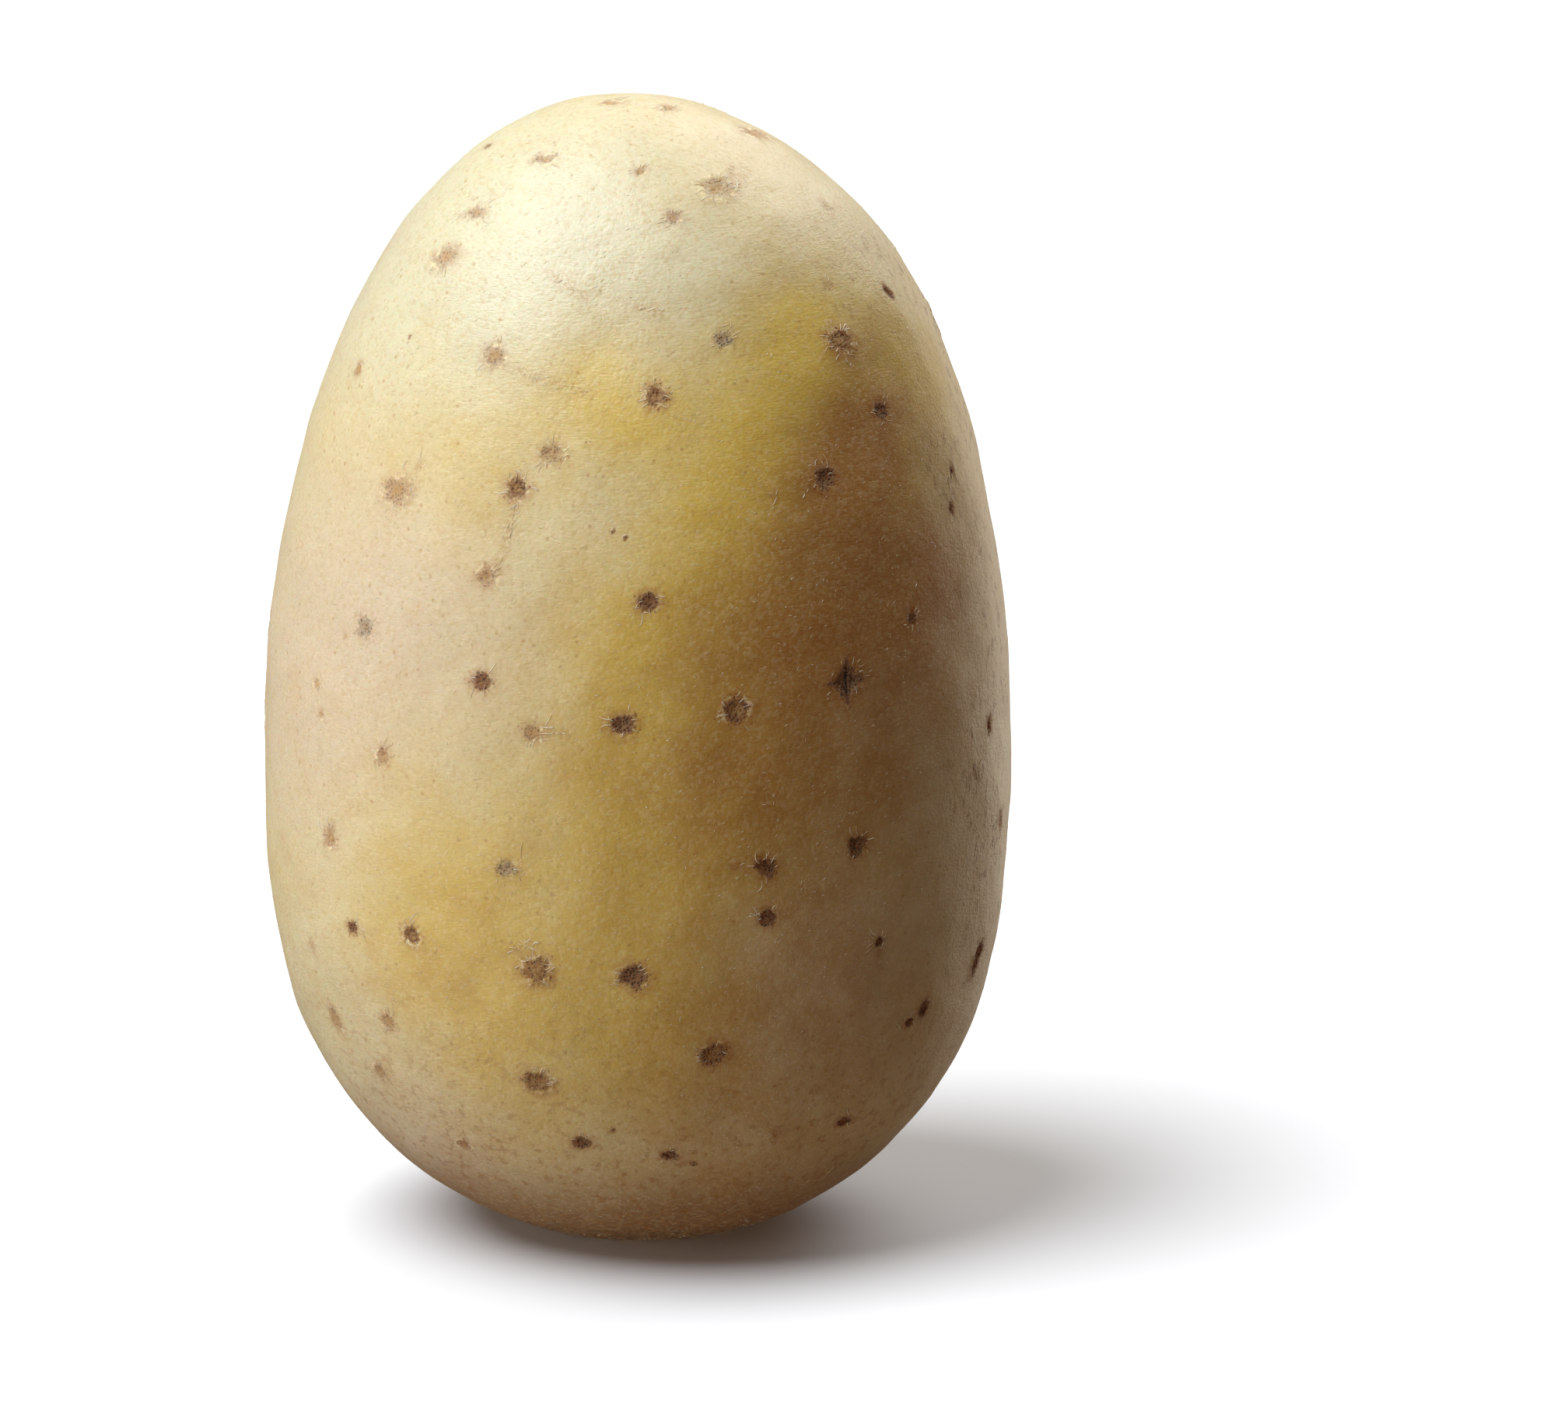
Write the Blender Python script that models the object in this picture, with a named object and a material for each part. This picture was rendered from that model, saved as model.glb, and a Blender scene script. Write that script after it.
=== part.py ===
"""A potato: one tuber, grown as a single solid, that stands on a small flat spot at its broad end.

Metres, +Z up. The origin is under the middle of the tuber, on the plane that it stands on.
+X runs across its width, +Y through its thickness, and the side that faces -Y is its front.
"""
import math

import bpy
import bmesh
import numpy as np

# Driving dimensions
HEIGHT = 0.100
WIDTH = 0.0655
THICKNESS = 0.058
GIRTH_HEIGHT = 0.0435       # how far up the tuber is widest
FOOT_RADIUS = 0.009         # the flat spot it stands on
FOOT_BLEND = 0.0008         # height over which the skin curves up out of the flat spot

# How full each end is: 2 is an ellipse, more is blunter
TOP_FULLNESS = 2.1
BOTTOM_FULLNESS = 2.8

# The growing tip leans, so the tip sits this far off the middle
TIP_LEAN_X = -0.0014
TIP_LEAN_Y = 0.0015
TIP_LEAN_POWER = 6          # the lean is kept to the last part of the height

# Broad swells and dents: (turn from the front towards +X in degrees, height, radius, depth),
# in metres, where a positive depth swells outwards
SWELLS = (
    (90, 0.086, 0.016, 0.0014),      # the right shoulder
    (42, 0.073, 0.012, -0.0009),     # the hollow below that shoulder, on the front
    (36, 0.085, 0.012, 0.0004),      # the lobe above the hollow
    (-45, 0.064, 0.015, -0.0004),    # the flatter left cheek
    (-60, 0.030, 0.018, 0.0003),
    (5, 0.055, 0.018, 0.0003),
    (10, 0.022, 0.014, -0.0003),
    (150, 0.060, 0.018, 0.0006),     # the back has its own lobes and hollows
    (205, 0.075, 0.013, -0.0007),
    (235, 0.035, 0.017, 0.0005),
    (120, 0.030, 0.015, -0.0006),
)

# The grid that the skin is drawn on
SEGMENTS = 64
RINGS = 44

SKIN_COLOUR = (0.56, 0.43, 0.20, 1.0)
SKIN_ROUGHNESS = 0.42


def end_girth(lift, fullness):
    """Girth at a height, as a part of the full girth: the root of one minus lift to a power.

    lift runs from 0 at the widest level to 1 at the end of the tuber.
    """
    return np.sqrt(np.clip(1.0 - np.abs(lift) ** fullness, 0.0, 1.0))


def plain_form(directions):
    """The tuber without its swells, for points on the unit sphere.

    A point's height follows its rise on the sphere, over the upper part's length or the lower
    part's, and its distance from the middle is the girth at that height.
    """
    rise = directions[:, 2]
    upper = rise > 0.0
    level = np.where(upper, HEIGHT - GIRTH_HEIGHT, GIRTH_HEIGHT)
    fullness = np.where(upper, TOP_FULLNESS, BOTTOM_FULLNESS)
    circle = np.sqrt(np.clip(1.0 - rise ** 2, 1e-12, 1.0))
    girth = end_girth(rise, fullness) / circle
    points = np.empty_like(directions)
    points[:, 0] = directions[:, 0] * girth * WIDTH / 2
    points[:, 1] = directions[:, 1] * girth * THICKNESS / 2
    points[:, 2] = GIRTH_HEIGHT + rise * level
    return points


def on_plain_form(turn, height):
    """The point of the plain form at a turn from the front, in degrees, and a height."""
    rise = height - GIRTH_HEIGHT
    upper = rise > 0.0
    level = HEIGHT - GIRTH_HEIGHT if upper else GIRTH_HEIGHT
    girth = float(end_girth(rise / level, TOP_FULLNESS if upper else BOTTOM_FULLNESS))
    angle = math.radians(turn)
    return np.array((math.sin(angle) * girth * WIDTH / 2, -math.cos(angle) * girth * THICKNESS / 2, height))


def swollen(points):
    """Moves the skin out or in, along lines from the middle, by the sum of bell-shaped swells.

    A swell's share at a point is its depth times e to the minus square of distance over radius.
    """
    outward = points - np.array((0.0, 0.0, GIRTH_HEIGHT))
    outward /= np.linalg.norm(outward, axis=1)[:, None]
    push = np.zeros(len(points))
    for turn, height, radius, depth in SWELLS:
        distance = np.linalg.norm(points - on_plain_form(turn, height), axis=1)
        push += depth * np.exp(-(distance / radius) ** 2)
    return points + outward * push[:, None]


def leaning(points):
    """Shifts the tip sideways, by a share that grows with a power of the height."""
    share = np.clip(points[:, 2] / HEIGHT, 0.0, 1.0) ** TIP_LEAN_POWER
    moved = points.copy()
    moved[:, 0] += TIP_LEAN_X * share
    moved[:, 1] += TIP_LEAN_Y * share
    return moved


def footed(points):
    """Presses the bottom flat at the height where the plain form is as wide as the foot.

    Below that height the skin lies in one plane. Over the blend's height above it the rise goes
    with the square, so the skin leaves the plane level, and from there on it keeps its own curve.
    """
    reach = FOOT_RADIUS / (WIDTH / 2)
    plane = GIRTH_HEIGHT * (1.0 - (1.0 - reach ** 2) ** (1.0 / BOTTOM_FULLNESS))
    above = np.clip(points[:, 2] - plane, 0.0, None)
    rise = np.where(above < FOOT_BLEND, above ** 2 / (2 * FOOT_BLEND), above - FOOT_BLEND / 2)
    moved = points.copy()
    moved[:, 2] = plane + rise
    return moved


def stood_on_origin(points):
    """Puts the middle of the outer box over the origin, with the foot at height 0 and full height."""
    low = points.min(axis=0)
    high = points.max(axis=0)
    size = np.array((WIDTH, THICKNESS, HEIGHT))
    middle = np.array(((low[0] + high[0]) / 2, (low[1] + high[1]) / 2, low[2]))
    return (points - middle) * size / (high - low)


def tuber_mesh():
    """A sphere's grid whose points are moved onto the tuber, with the foot as one flat face."""
    grid = bmesh.new()
    bmesh.ops.create_uvsphere(grid, u_segments=SEGMENTS, v_segments=RINGS, radius=1.0)
    directions = np.array([vertex.co for vertex in grid.verts])
    directions /= np.linalg.norm(directions, axis=1)[:, None]
    points = stood_on_origin(footed(leaning(swollen(plain_form(directions)))))
    for vertex, point in zip(grid.verts, points):
        vertex.co = point
    under = [face for face in grid.faces if max(vertex.co.z for vertex in face.verts) < 1e-6]
    bmesh.ops.dissolve_faces(grid, faces=under, use_verts=True)
    bmesh.ops.recalc_face_normals(grid, faces=grid.faces)
    mesh = bpy.data.meshes.new("potato")
    grid.to_mesh(mesh)
    grid.free()
    mesh.shade_smooth()
    return mesh


def skin_material():
    """Thin, dry, cream-yellow potato skin."""
    material = bpy.data.materials.new("potato skin")
    material.use_nodes = True
    shader = material.node_tree.nodes["Principled BSDF"]
    shader.inputs["Base Color"].default_value = SKIN_COLOUR
    shader.inputs["Roughness"].default_value = SKIN_ROUGHNESS
    shader.inputs["Metallic"].default_value = 0.0
    return material


def main():
    for old in list(bpy.data.objects):
        bpy.data.objects.remove(old)
    collection = bpy.data.collections.new("potato")
    bpy.context.scene.collection.children.link(collection)
    potato = bpy.data.objects.new("potato", tuber_mesh())
    potato.data.materials.append(skin_material())
    collection.objects.link(potato)


main()
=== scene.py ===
import math

import bpy
import numpy as np
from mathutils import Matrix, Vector


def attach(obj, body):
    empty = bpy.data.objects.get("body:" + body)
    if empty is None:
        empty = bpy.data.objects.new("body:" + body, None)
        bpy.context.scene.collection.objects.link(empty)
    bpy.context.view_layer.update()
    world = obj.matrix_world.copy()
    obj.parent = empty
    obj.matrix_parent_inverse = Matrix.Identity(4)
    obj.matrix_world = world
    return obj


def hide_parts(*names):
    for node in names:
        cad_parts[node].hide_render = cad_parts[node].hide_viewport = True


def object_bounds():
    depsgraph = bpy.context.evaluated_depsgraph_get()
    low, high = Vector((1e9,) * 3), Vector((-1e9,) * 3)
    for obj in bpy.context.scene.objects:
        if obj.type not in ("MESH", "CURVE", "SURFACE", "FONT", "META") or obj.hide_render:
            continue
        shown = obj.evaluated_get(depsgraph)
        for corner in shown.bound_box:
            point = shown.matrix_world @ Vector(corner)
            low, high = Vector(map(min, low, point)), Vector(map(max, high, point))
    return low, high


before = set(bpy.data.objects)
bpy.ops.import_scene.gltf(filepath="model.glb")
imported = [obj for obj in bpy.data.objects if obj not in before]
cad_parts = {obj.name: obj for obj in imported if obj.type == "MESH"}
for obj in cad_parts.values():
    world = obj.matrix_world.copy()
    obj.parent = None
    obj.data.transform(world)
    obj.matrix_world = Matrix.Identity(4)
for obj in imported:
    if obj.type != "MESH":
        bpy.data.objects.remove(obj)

cad_low, cad_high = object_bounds()

MM = 0.001
WIDTH, THICKNESS, HEIGHT = (high - low for low, high in zip(cad_low, cad_high))

# The tuber's form, as the part's source states it
GIRTH_HEIGHT = 0.0435
FOOT_RADIUS = 0.009
FOOT_BLEND = 0.0008
TOP_FULLNESS = 2.1
BOTTOM_FULLNESS = 2.8
TIP_LEAN = (-0.0014, 0.0015)
TIP_LEAN_POWER = 6
# Broad swells and dents: turn from the front in degrees, height, radius and depth in metres
SWELLS = (
    (90, 0.086, 0.016, 0.0014),
    (42, 0.073, 0.012, -0.0009),
    (36, 0.085, 0.012, 0.0004),
    (-45, 0.064, 0.015, -0.0004),
    (-60, 0.030, 0.018, 0.0003),
    (5, 0.055, 0.018, 0.0003),
    (10, 0.022, 0.014, -0.0003),
    (150, 0.060, 0.018, 0.0006),
    (205, 0.075, 0.013, -0.0007),
    (235, 0.035, 0.017, 0.0005),
    (120, 0.030, 0.015, -0.0006),
)

# The skin is a cube's six faces blown up to a ball, with this many squares along each edge
CELLS = 128
# The flat map leaves this share of each face's tile free along its edges
MAP_MARGIN = 0.01
# Squares are drawn in towards a spot: how far at the middle of most spots and of a star, and over
# how many half widths that fades
SPOT_PULL = 0.5
STAR_PULL = 0.6
PULL_REACH = 2.5

# The skin's soft waves in mm, how long and how high: dimples, ripples, and the crumbs in a spot,
# whose height comes from the spot's kind. Each is a sum of this many sine waves
DIMPLE_SIZE, DIMPLE_HEIGHT = 11, 0.07
RIPPLE_SIZE, RIPPLE_HEIGHT = 4, 0.02
CRUMB_SIZE = 0.45
WAVE_COUNT = 24
# The heights in metres between which relief grows from nothing, so that the foot stays flat
FOOT_CLEARANCE = (0.0002, 0.002)

# Seeds of the random draws
DIMPLE_SEED, RIPPLE_SEED, CRUMB_SEED = 1, 2, 3
OUTLINE_SEED = 5
SLIVER_SEED = 7
BACK_SEED = 11
NETTING_SEED = 21

# Kinds of spot (lenticels, where the skin breathes): depth of the pit, height of its torn rim and
# of its crumbs in mm, then how dark, how pale in the middle, how strong its halo and how grey
KINDS = {
    "brown": (0.08, 0.05, 0.05, 0.56, 0.80, 0.65, 0.00),
    "dark": (0.18, 0.06, 0.06, 1.00, 0.15, 0.95, 0.05),
    "ring": (0.16, 0.10, 0.06, 0.90, 0.80, 0.95, 0.00),
    "grey": (0.10, 0.07, 0.05, 0.80, 0.30, 0.40, 0.80),
    "crust": (0.05, 0.10, 0.10, 0.80, 0.60, 1.00, 0.00),
    "pale": (0.04, 0.05, 0.03, 0.38, 0.85, 0.45, 0.00),
    "pin": (0.04, 0.02, 0.01, 0.75, 0.00, 0.50, 0.00),
    "faint": (0.03, 0.03, 0.02, 0.32, 0.30, 0.45, 0.10),
    "star": (0.25, 0.08, 0.04, 1.00, 0.00, 0.70, 0.20),
    "eye": (0.10, 0.14, 0.10, 0.55, 0.70, 0.45, 0.80),
}

# The reach of skin that is far from every spot
FAR = 6.0

# Spots on the front, placed one by one: mm across from the middle, mm above the foot, width in mm,
# how much longer than wide, which way that length turns in degrees, and kind
FRONT_SPOTS = (
    (-2, 99.7, 1.2, 1.6, 0, "brown"),
    (3, 99.3, 1.2, 1.4, 20, "brown"),
    (10.5, 97, 1.6, 1.8, -35, "brown"),
    (-12.5, 96, 0.9, 1.4, 40, "pin"),
    (-7.5, 96, 1.4, 1.4, 0, "brown"),
    (0.5, 95.5, 0.9, 1.3, 60, "brown"),
    (7, 94, 2.6, 1.1, 0, "eye"),
    (8.5, 95, 1.1, 1.6, 60, "faint"),
    (-13.5, 91.5, 1.3, 1.6, 10, "brown"),
    (3.5, 92, 1.3, 1.1, 0, "brown"),
    (16.5, 91.5, 1.1, 1.3, 70, "faint"),
    (-16, 88, 1.9, 1.4, 20, "brown"),
    (21.5, 84.5, 1.0, 1.5, -60, "dark"),
    (16.5, 86, 0.9, 1.4, 10, "faint"),
    (-19, 81.5, 0.5, 1.0, 0, "pin"),
    (-23.5, 78, 1.1, 1.2, 80, "brown"),
    (-11.5, 81, 1.9, 1.1, 0, "brown"),
    (7.5, 82.5, 1.5, 1.1, 0, "grey"),
    (17.5, 81.5, 2.0, 1.3, -20, "crust"),
    (2, 78.5, 1.8, 1.1, 0, "ring"),
    (21, 75.5, 1.5, 1.2, 0, "dark"),
    (-6.5, 74, 1.9, 1.1, 0, "brown"),
    (-18, 72, 0.8, 1.2, 30, "faint"),
    (-20, 69.5, 2.2, 1.4, 10, "brown"),
    (-9.5, 71, 1.8, 1.1, 0, "ring"),
    (16, 71, 1.9, 1.1, 40, "dark"),
    (11.5, 70, 0.7, 1.0, 0, "faint"),
    (27, 69.5, 0.8, 1.3, 90, "dark"),
    (27, 66.5, 0.9, 1.2, 90, "dark"),
    (-1.5, 67.5, 0.4, 1.6, 40, "pin"),
    (-0.5, 67, 0.4, 1.6, 40, "pin"),
    (-12, 63.5, 1.8, 1.1, 90, "brown"),
    (1.5, 62, 1.7, 1.1, 0, "dark"),
    (23.5, 58.5, 1.0, 1.1, 0, "dark"),
    (-22.5, 58, 1.8, 1.2, 90, "grey"),
    (-24.5, 56.5, 0.7, 1.2, 90, "faint"),
    (-12.5, 55, 1.6, 1.1, 0, "dark"),
    (18, 54, 3.1, 1.0, 0, "star"),
    (-27, 52, 1.1, 1.1, 0, "pale"),
    (-26.5, 49.5, 0.9, 1.1, 0, "pale"),
    (-8, 51, 1.5, 1.2, 0, "brown"),
    (-0.5, 52, 1.8, 1.3, 10, "dark"),
    (9, 53, 2.1, 1.1, 0, "ring"),
    (30.5, 47, 1.1, 1.6, 90, "dark"),
    (-21, 47.5, 1.4, 1.1, 0, "brown"),
    (29.5, 43, 0.9, 1.5, 90, "faint"),
    (31.5, 38, 1.1, 2.2, 90, "brown"),
    (-26, 39, 1.6, 1.2, 80, "brown"),
    (-10.5, 39, 1.6, 1.3, -5, "grey"),
    (11, 39, 1.6, 1.3, -20, "dark"),
    (9, 39.5, 0.9, 1.6, -20, "faint"),
    (19, 40, 1.7, 1.1, 0, "dark"),
    (11.5, 34.5, 1.5, 1.1, 0, "dark"),
    (-24, 31.5, 1.2, 1.1, 0, "dark"),
    (-19, 32, 1.6, 1.1, -70, "ring"),
    (-28, 28.5, 1.2, 1.3, 90, "faint"),
    (21, 31, 0.8, 1.0, 0, "dark"),
    (21, 30, 0.7, 1.3, 90, "faint"),
    (29.5, 26, 1.7, 1.7, 75, "dark"),
    (-8, 30, 2.3, 1.1, 0, "crust"),
    (0, 30, 2.2, 1.1, 0, "dark"),
    (-26, 22, 1.5, 1.7, -60, "brown"),
    (-21, 23.5, 1.5, 1.1, 0, "brown"),
    (7, 22.5, 2.1, 1.1, 20, "ring"),
    (25, 23.5, 1.3, 1.3, 70, "dark"),
    (23.5, 22.5, 0.9, 1.2, 45, "dark"),
    (-22, 18, 1.4, 1.3, -45, "brown"),
    (-8, 19.5, 2.1, 1.2, 0, "crust"),
    (-15, 12, 1.2, 1.4, 10, "brown"),
    (-4.5, 13.5, 1.4, 1.2, 0, "dark"),
    (-2, 15, 0.5, 1.0, 0, "pin"),
    (3, 12.5, 1.3, 1.3, 0, "dark"),
    (5, 11.5, 0.7, 1.2, -20, "pin"),
    (12.5, 14, 1.4, 1.1, 0, "faint"),
    (18, 14, 1.2, 1.1, 0, "dark"),
    (16, 7.5, 1.0, 1.4, 30, "faint"),
)

# The back and sides: how many spots, how far apart in mm, the turns and heights they lie between,
# how often each kind comes, and the widths in mm of the kinds that aren't as wide as most
BACK_SPOTS = 64
SPOT_GAP = 5.0
BACK_TURNS = (85, 275)
BACK_HEIGHTS = (0.05, 0.985)
BACK_KINDS = {
    "brown": 0.24,
    "dark": 0.24,
    "ring": 0.12,
    "grey": 0.08,
    "crust": 0.05,
    "pale": 0.05,
    "pin": 0.10,
    "faint": 0.12,
}
BACK_WIDTH = 1.6
SMALL_WIDTHS = {"pin": 0.5, "faint": 1.0, "pale": 1.1}
# The least and most share of that width, and the least and most length over width
WIDTH_SHARES = (0.8, 1.3)
STRETCHES = (1.0, 1.5)

# Soft patches of colour on the skin: mm across, mm up, side (-1 front, 1 back), radius in mm,
# and strengths of blush, yellow, russet and bloom. On the front the bloom is a painted sheen on
# the lit upper left, the russet, strongest on the right half and near the foot, is painted shade,
# and the yellow along the edge of the shade is partly the skin's own colour and partly painted
# warm shade.
PATCHES = (
    (-20, 62, -1, 12, 0.50, 0.0, 0.0, 0.0),
    (-14, 73, -1, 9, 0.0, 0.40, 0.0, 0.0),
    (-30, 48, -1, 13, 0.60, 0.0, 0.0, 0.0),
    (-14, 89, -1, 11, 0.0, 0.0, 0.0, 0.9),
    (-22, 80, -1, 8, 0.0, 0.0, 0.0, 0.4),
    (-2, 95, -1, 10, 0.0, 0.0, 0.0, 0.5),
    (6, 87, -1, 5, 0.0, 0.0, 0.0, 0.35),
    (-14, 27, -1, 8, 0.25, 0.2, 0.15, 0.0),
    (-8, 35, -1, 10, 0.0, 0.25, 0.05, 0.0),
    (-2, 78, -1, 6, 0.0, 0.6, 0.0, 0.0),
    (9, 71, -1, 8, 0.0, 0.7, 0.0, 0.0),
    (5, 79, -1, 5, 0.0, 0.2, 0.0, 0.0),
    (15, 75, -1, 6, 0.0, 0.35, 0.0, 0.0),
    (24, 70, -1, 6, 0.0, 0.35, 0.0, 0.0),
    (14, 84, -1, 6, 0.0, 0.6, 0.0, 0.0),
    (19, 79, -1, 6, 0.0, 0.5, 0.0, 0.0),
    (18, 81, -1, 3, 0.0, 0.0, 0.4, 0.0),
    (17, 71, -1, 6, 0.0, 0.0, 0.5, 0.0),
    (20, 75, -1, 4, 0.0, 0.0, 0.5, 0.0),
    (25, 61, -1, 5, 0.0, 0.0, 0.5, 0.0),
    (25, 75, -1, 7, 0.0, 0.5, 0.1, 0.0),
    (3, 58, -1, 9, 0.0, 0.9, 0.25, 0.0),
    (3, 45, -1, 9, 0.0, 0.8, 0.25, 0.0),
    (1, 33, -1, 10, 0.0, 0.35, 0.1, 0.0),
    (16, 32, -1, 9, 0.4, 0.0, 0.05, 0.0),
    (2, 24, -1, 8, 0.0, 0.4, 0.10, 0.0),
    (-10, 20, -1, 11, 0.0, 0.5, 0.0, 0.0),
    (-18, 33, -1, 8, 0.0, 0.5, 0.2, 0.0),
    (-16, 44, -1, 10, 0.0, 0.3, 0.0, 0.0),
    (21, 66, -1, 9, 0.0, 0.2, 0.4, 0.0),
    (14, 60, -1, 8, 0.0, 0.3, 0.5, 0.0),
    (22, 54, -1, 8, 0.0, 0.0, 0.35, 0.0),
    (12, 47, -1, 9, 0.0, 0.3, 0.45, 0.0),
    (29, 48, -1, 9, 0.1, 0.0, 0.2, 0.0),
    (19, 39, -1, 8, 0.0, 0.2, 0.25, 0.0),
    (12, 25, -1, 11, 0.3, 0.2, 0.40, 0.0),
    (-18, 10, -1, 9, 0.7, 0.0, 0.1, 0.0),
    (6, 6, -1, 12, 0.2, 0.2, 0.4, 0.0),
    (-12, 80, 1, 14, 0.5, 0.0, 0.1, 0.2),
    (14, 62, 1, 15, 0.0, 0.6, 0.2, 0.0),
    (-16, 44, 1, 15, 0.0, 0.4, 0.3, 0.0),
    (12, 28, 1, 14, 0.5, 0.0, 0.2, 0.0),
    (-2, 10, 1, 15, 0.2, 0.0, 0.7, 0.0),
)

# The netted side: the shares of half the width where it begins and is full, the heights in metres
# over which it fades in above the foot, and those over which it widens towards the shoulder
NETTING_EDGE = (0.80, 1.0)
NETTING_FOOT = (0.012, 0.030)
NETTING_SHOULDER = (0.055, 0.085)

# Shallow folds of the front too slight for the solid: mm across, mm up, radius and height in mm
FOLDS = (
    (14, 68, 12, 0.90),
    (27, 60, 8, -0.30),
    (6, 88, 6, 0.15),
    (-16, 30, 7, -0.20),
)

# Scuffs where the skin was dragged: their radius in mm, how strong they are, then for each one
# mm across and up at each end, and how many torn slivers
SCUFF_RADIUS = 0.5
SCUFF_STRENGTH = 0.55
SCUFFS = (
    (-9.8, 80.2, -3.6, 78.6, 9),
    (-9.5, 70.0, -9.9, 68.4, 5),
    (-9.9, 68.2, -10.6, 65.8, 7),
    (-7.2, 51.0, -5.3, 50.8, 5),
    (15.4, 70.6, 14.2, 69.2, 4),
    (-18.7, 68.9, -18.5, 70.4, 3),
    (-10.6, 31.6, -8.0, 32.4, 9),
    (8.0, 93.4, 9.4, 94.6, 5),
    (-6.8, 87.6, -3.9, 86.0, 4),
    (0.6, 85.2, 2.8, 84.8, 4),
)

# Flecks of torn skin: how many, their slant up to the right in degrees and how much it varies, and
# the least and most length, width and thickness in mm
FLECK_COUNT = 6500
FLECK_SLANT, FLECK_SPREAD = 28.0, 28.0
FLECK_LENGTHS = (0.2, 0.6)
FLECK_WIDTHS = (0.04, 0.08)
FLECK_THICKNESSES = (0.03, 0.06)

# Whiskers of torn skin: how many each kind of spot has, the ways they point in degrees from the
# right, turning upwards, how often each way comes, and the widths and thickness in mm
WHISKERS = {
    "ring": 11,
    "crust": 20,
    "star": 12,
    "dark": 8,
    "brown": 9,
    "eye": 18,
    "grey": 8,
    "pin": 0,
    "faint": 2,
    "pale": 2,
}
WHISKER_WAYS = (35.0, 190.0, 90.0, 300.0)
WHISKER_ODDS = (0.35, 0.35, 0.15, 0.15)
WHISKER_WIDTHS = (0.045, 0.09)
WHISKER_THICKNESS = 0.06
# The slivers along a scuff: the least and most length and width in mm
SCUFF_LENGTHS = (0.3, 0.9)
SCUFF_WIDTHS = (0.05, 0.12)

# The studio: half the floor's width in metres and its tone, then where the key light comes from,
# high on the left and a little in front, its strength, its spread in degrees and its tone
FLOOR_HALF = 4.0
FLOOR_TONE = "#E4E4E4"
KEY_FROM = (-0.45, -0.17, 0.87)
KEY_STRENGTH = 4.3
KEY_SPREAD = 46.0
KEY_TONE = "#F6FAFF"
# The room's soft glow from all round, as linear red, green and blue, then each lobe of it: where
# it comes from, how narrow it is, its strength and its tone
AIR_GLOW = (0.03, 0.015, 0.008)
AIR_LOBES = (
    ((-0.90, -0.38, -0.22), 4.0, 1.6, "#FBFCFF"),
    ((-0.40, -0.60, -0.69), 3.0, 0.34, "#FFE6C8"),
    ((0.60, 0.79, -0.10), 20.0, 2.3, "#FFF4E4"),
    ((0.40, 0.56, 0.73), 12.0, 4.4, "#FFFFFF"),
    ((0.60, -0.45, -0.65), 2.0, 0.10, "#FFA860"),
)
BACKDROP_TONE = "#FFFFFF"

# The camera: its lens in mm, how far it looks down in degrees, how far off it is and what it aims at
LENS = 157.2
SENSOR_WIDTH = 36.0
LOOK_DOWN = 14.0
CAMERA_DISTANCE = 0.6
CAMERA_AIM = (0.0128, 0.0, 0.0457)


def linear(colour):
    """An sRGB hex colour as linear red, green, blue and a full alpha."""
    parts = [int(colour[start:start + 2], 16) / 255 for start in (1, 3, 5)]
    return (*(part / 12.92 if part <= 0.04045 else ((part + 0.055) / 1.055) ** 2.4 for part in parts), 1.0)


def smooth(field, start, stop):
    """0 before start and 1 past stop, with the S-shaped curve 3s^2 - 2s^3 between them."""
    share = np.clip((field - start) / (stop - start), 0.0, 1.0)
    return share * share * (3.0 - 2.0 * share)


def unit(vectors):
    """Each row at length one."""
    return vectors / np.maximum(np.linalg.norm(vectors, axis=-1, keepdims=True), 1e-12)


def waves(points, size, count, seed):
    """A soft random field: the sum of sine waves about `size` long, in random directions.

    It is scaled so that its values lie mostly between -1 and 1.
    """
    draw = np.random.default_rng(seed)
    ways = unit(draw.normal(size=(count, 3))) * (math.tau / size) * draw.uniform(0.7, 1.5, (count, 1))
    phases = draw.uniform(0.0, math.tau, count)
    return np.sin(points @ ways.T + phases).sum(axis=1) * math.sqrt(1.0 / count)


# --- The tuber's form: the same formulas as the part's source ---


def end_girth(lift, fullness):
    """Girth as a part of the full girth: the root of one minus lift to a power."""
    return np.sqrt(np.clip(1.0 - np.abs(lift) ** fullness, 0.0, 1.0))


def plain_form(directions):
    """Height follows the rise on the ball, and the distance from the middle is the girth there."""
    rise = directions[:, 2]
    upper = rise > 0.0
    level = np.where(upper, HEIGHT - GIRTH_HEIGHT, GIRTH_HEIGHT)
    girth = end_girth(rise, np.where(upper, TOP_FULLNESS, BOTTOM_FULLNESS))
    girth = girth / np.sqrt(np.clip(1.0 - rise ** 2, 1e-12, 1.0))
    return np.column_stack((
        directions[:, 0] * girth * WIDTH / 2,
        directions[:, 1] * girth * THICKNESS / 2,
        GIRTH_HEIGHT + rise * level,
    ))


def direction_at(turn, height):
    """The ball's direction whose point on the plain form has this turn in degrees and height."""
    rise = height - GIRTH_HEIGHT
    rise = rise / (HEIGHT - GIRTH_HEIGHT) if rise > 0.0 else rise / GIRTH_HEIGHT
    round_part = math.sqrt(max(1.0 - rise * rise, 0.0))
    angle = math.radians(turn)
    return np.array((math.sin(angle) * round_part, -math.cos(angle) * round_part, rise))


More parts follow.
